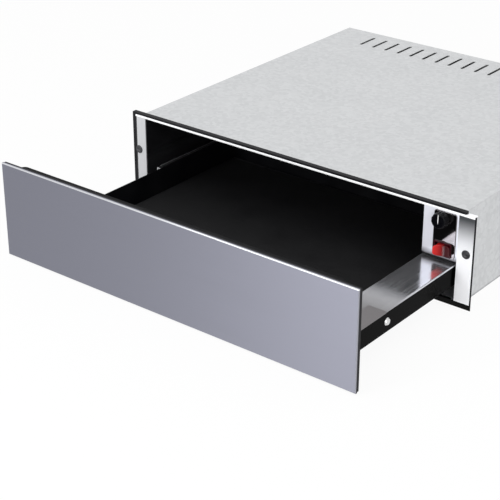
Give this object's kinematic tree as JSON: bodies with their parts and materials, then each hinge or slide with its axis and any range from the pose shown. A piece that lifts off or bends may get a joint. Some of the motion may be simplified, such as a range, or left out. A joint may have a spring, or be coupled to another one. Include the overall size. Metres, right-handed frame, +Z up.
{
  "type": "built-in warming drawer",
  "caption": "Flat built-in warming drawer with a brushed steel front, a black heated tray on ball runners and its controls inside on the right.",
  "frame": {"origin": "centre of the casing's underside, where it lies on the floor of the niche", "axes": "+Z up, +Y into the cabinet, away from the drawer's front, +X to the right seen from the front"},
  "size_m": [0.596, 0.8084, 0.142],
  "materials": {
    "panel_steel": "fine horizontal brushing",
    "frame_steel": "satin, lightly polished",
    "zinc_sheet": "galvanised sheet",
    "black_sheet": "black satin enamel",
    "cavity_sheet": "black enamel, slightly glossy",
    "ledge_steel": "polished, fine brushing",
    "bracket_steel": "satin",
    "runner_steel": "zinc plated",
    "cage_steel": "bright balls in a pressed strip",
    "screw_steel": "bright zinc",
    "dark_screw": "blackened",
    "backing_board": "dark board",
    "inner_frame_black": "satin black",
    "black_trim": "satin black",
    "bumper_rubber": "matte",
    "mat_rubber": "fine ribs, matte",
    "gloss_black": "high gloss",
    "knob_black": "satin gloss with a white pointer line",
    "red_lens": "translucent red",
    "control_plastic": "black moulding",
    "fan_alloy": "bare pressed sheet",
    "motor_steel": "stamped laminations",
    "element_steel": "heat-darkened tube",
    "cutout_brass": "bright cap",
    "terminal_white": "white moulding",
    "latch_plastic": "light grey moulding",
    "loom_sleeve": "braided sleeve",
    "blanket": "mineral wool mat"
  },
  "bodies": {
    "casing": {"casing_base": "zinc_sheet", "casing_side_left": "zinc_sheet", "casing_side_right": "zinc_sheet", "casing_back": "zinc_sheet", "casing_top": "zinc_sheet", "casing_screws": "screw_steel", "insulation_blanket": "blanket", "flange_left": "frame_steel", "flange_right": "frame_steel", "top_rail": "frame_steel", "front_seal": "black_trim", "bottom_strip": "black_sheet", "niche_screws": "dark_screw", "cavity_wall_left": "cavity_sheet", "cavity_wall_right": "cavity_sheet", "cavity_ceiling": "cavity_sheet", "cavity_wall_back": "cavity_sheet", "control_fascia": "frame_steel", "control_insert": "gloss_black", "thermostat_body": "control_plastic", "switch_body": "control_plastic", "fan_bracket": "zinc_sheet", "fan_motor": "motor_steel", "heating_element": "element_steel", "safety_cutout": "cutout_brass", "terminal_block": "terminal_white", "cable_gland": "black_trim", "wiring_loom": "loom_sleeve", "latch_housing": "latch_plastic", "runner_bracket_left": "zinc_sheet", "runner_bracket_right": "zinc_sheet", "runner_fixed_left": "runner_steel", "runner_fixed_right": "runner_steel"},
    "middle_rails": {"runner_middle_left": "runner_steel", "runner_middle_right": "runner_steel"},
    "outer_cages": {"ball_cages_outer": "cage_steel"},
    "inner_cages": {"ball_cages_inner": "cage_steel"},
    "knob": {"thermostat_knob": "knob_black", "thermostat_shaft": "screw_steel"},
    "rocker": {"switch_rocker": "red_lens"},
    "fan": {"fan_rotor": "fan_alloy"},
    "plunger": {"latch_plunger": "latch_plastic"},
    "drawer": {"front_skin": "panel_steel", "front_backing": "backing_board", "front_inner_frame": "inner_frame_black", "front_inner_plate": "inner_frame_black", "front_bumpers": "bumper_rubber", "tray_floor": "black_sheet", "tray_side_left": "black_sheet", "tray_side_right": "black_sheet", "tray_front_wall": "black_sheet", "tray_rear_wall": "black_sheet", "nonslip_mat": "mat_rubber", "side_ledge": "ledge_steel", "side_wall": "black_sheet", "corner_bracket": "bracket_steel", "drawer_screws": "screw_steel", "runner_drawer_left": "runner_steel", "runner_drawer_right": "runner_steel", "latch_striker": "zinc_sheet"}
  },
  "joints": [
    {"name": "drawer_slide", "type": "slide", "parent": "casing", "child": "drawer", "axis": [0, -1, 0], "range_m": [-0.2439, 0.0961]},
    {"name": "runner_middle_slide", "type": "slide", "parent": "casing", "child": "middle_rails", "axis": [0, -1, 0], "range_m": [-0.12195, 0.04805]},
    {"name": "cages_outer_slide", "type": "slide", "parent": "casing", "child": "outer_cages", "axis": [0, -1, 0], "range_m": [-0.06098, 0.02403]},
    {"name": "cages_inner_slide", "type": "slide", "parent": "casing", "child": "inner_cages", "axis": [0, -1, 0], "range_m": [-0.18293, 0.07208]},
    {"name": "knob_turn", "type": "hinge", "parent": "casing", "child": "knob", "pos_m": [0.2483, -0.27, 0.1212], "axis": [0, 1, 0], "range_deg": [0, 270]},
    {"name": "rocker_tilt", "type": "hinge", "parent": "casing", "child": "rocker", "pos_m": [0.2512, -0.268, 0.0784], "axis": [0, 0, 1], "range_deg": [-24, 0]},
    {"name": "fan_spin", "type": "hinge", "parent": "casing", "child": "fan", "pos_m": [-0.0265, 0.175, 0.07], "axis": [0, 1, 0], "continuous": true},
    {"name": "latch_press", "type": "slide", "parent": "casing", "child": "plunger", "axis": [0, 1, 0], "range_m": [0, 0.004], "stiffness_N_per_m": 400}
  ],
  "couplings": [
    {"joint": "runner_middle_slide", "follows": "drawer_slide", "ratio": 0.5},
    {"joint": "cages_outer_slide", "follows": "drawer_slide", "ratio": 0.25},
    {"joint": "cages_inner_slide", "follows": "drawer_slide", "ratio": 0.75}
  ]
}
